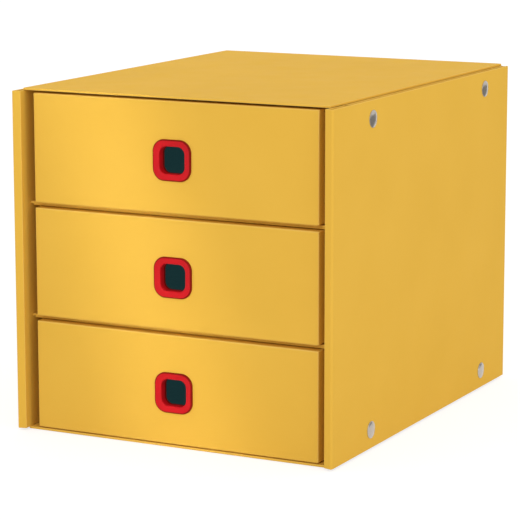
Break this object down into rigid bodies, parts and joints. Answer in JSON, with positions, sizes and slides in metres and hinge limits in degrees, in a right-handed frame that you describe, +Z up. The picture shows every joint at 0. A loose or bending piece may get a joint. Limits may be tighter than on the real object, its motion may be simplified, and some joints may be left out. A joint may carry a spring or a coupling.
{
  "type": "desktop drawer unit",
  "caption": "Free-standing desktop cabinet of laminated board with sliding drawers, red finger rings and press-stud joints.",
  "frame": {"origin": "on the surface that the cabinet stands on, under the middle of its outline", "axes": "+X to the right seen from the front, +Y to the back, +Z up; the drawers pull out towards -Y"},
  "size_m": [0.289, 0.358, 0.282],
  "materials": {
    "board": "solid board laminated with satin warm yellow film",
    "ring_plastic": "moulded red plastic, semi-gloss",
    "stud_metal": "nickel-plated pressed steel, polished",
    "lining_paper": "uncoated dark petrol lining paper"
  },
  "bodies": {
    "casing": {"left_side_panel": "board", "right_side_panel": "board", "top_panel": "board", "bottom_panel": "board", "back_panel": "board", "lower_shelf": "board", "upper_shelf": "board", "press_stud_caps": "stud_metal", "press_stud_sockets": "stud_metal", "press_stud_balls": "stud_metal"},
    "bottom_drawer": {"bottom_drawer_tray": "board", "bottom_drawer_front": "board", "bottom_drawer_lining": "lining_paper", "bottom_finger_ring": "ring_plastic", "bottom_ring_clip": "ring_plastic"},
    "middle_drawer": {"middle_drawer_tray": "board", "middle_drawer_front": "board", "middle_drawer_lining": "lining_paper", "middle_finger_ring": "ring_plastic", "middle_ring_clip": "ring_plastic"},
    "top_drawer": {"top_drawer_tray": "board", "top_drawer_front": "board", "top_drawer_lining": "lining_paper", "top_finger_ring": "ring_plastic", "top_ring_clip": "ring_plastic"}
  },
  "joints": [
    {"name": "bottom_drawer_slide", "type": "slide", "parent": "casing", "child": "bottom_drawer", "axis": [0, -1, 0], "range_m": [0, 0.29]},
    {"name": "middle_drawer_slide", "type": "slide", "parent": "casing", "child": "middle_drawer", "axis": [0, -1, 0], "range_m": [0, 0.29]},
    {"name": "top_drawer_slide", "type": "slide", "parent": "casing", "child": "top_drawer", "axis": [0, -1, 0], "range_m": [0, 0.29]}
  ]
}
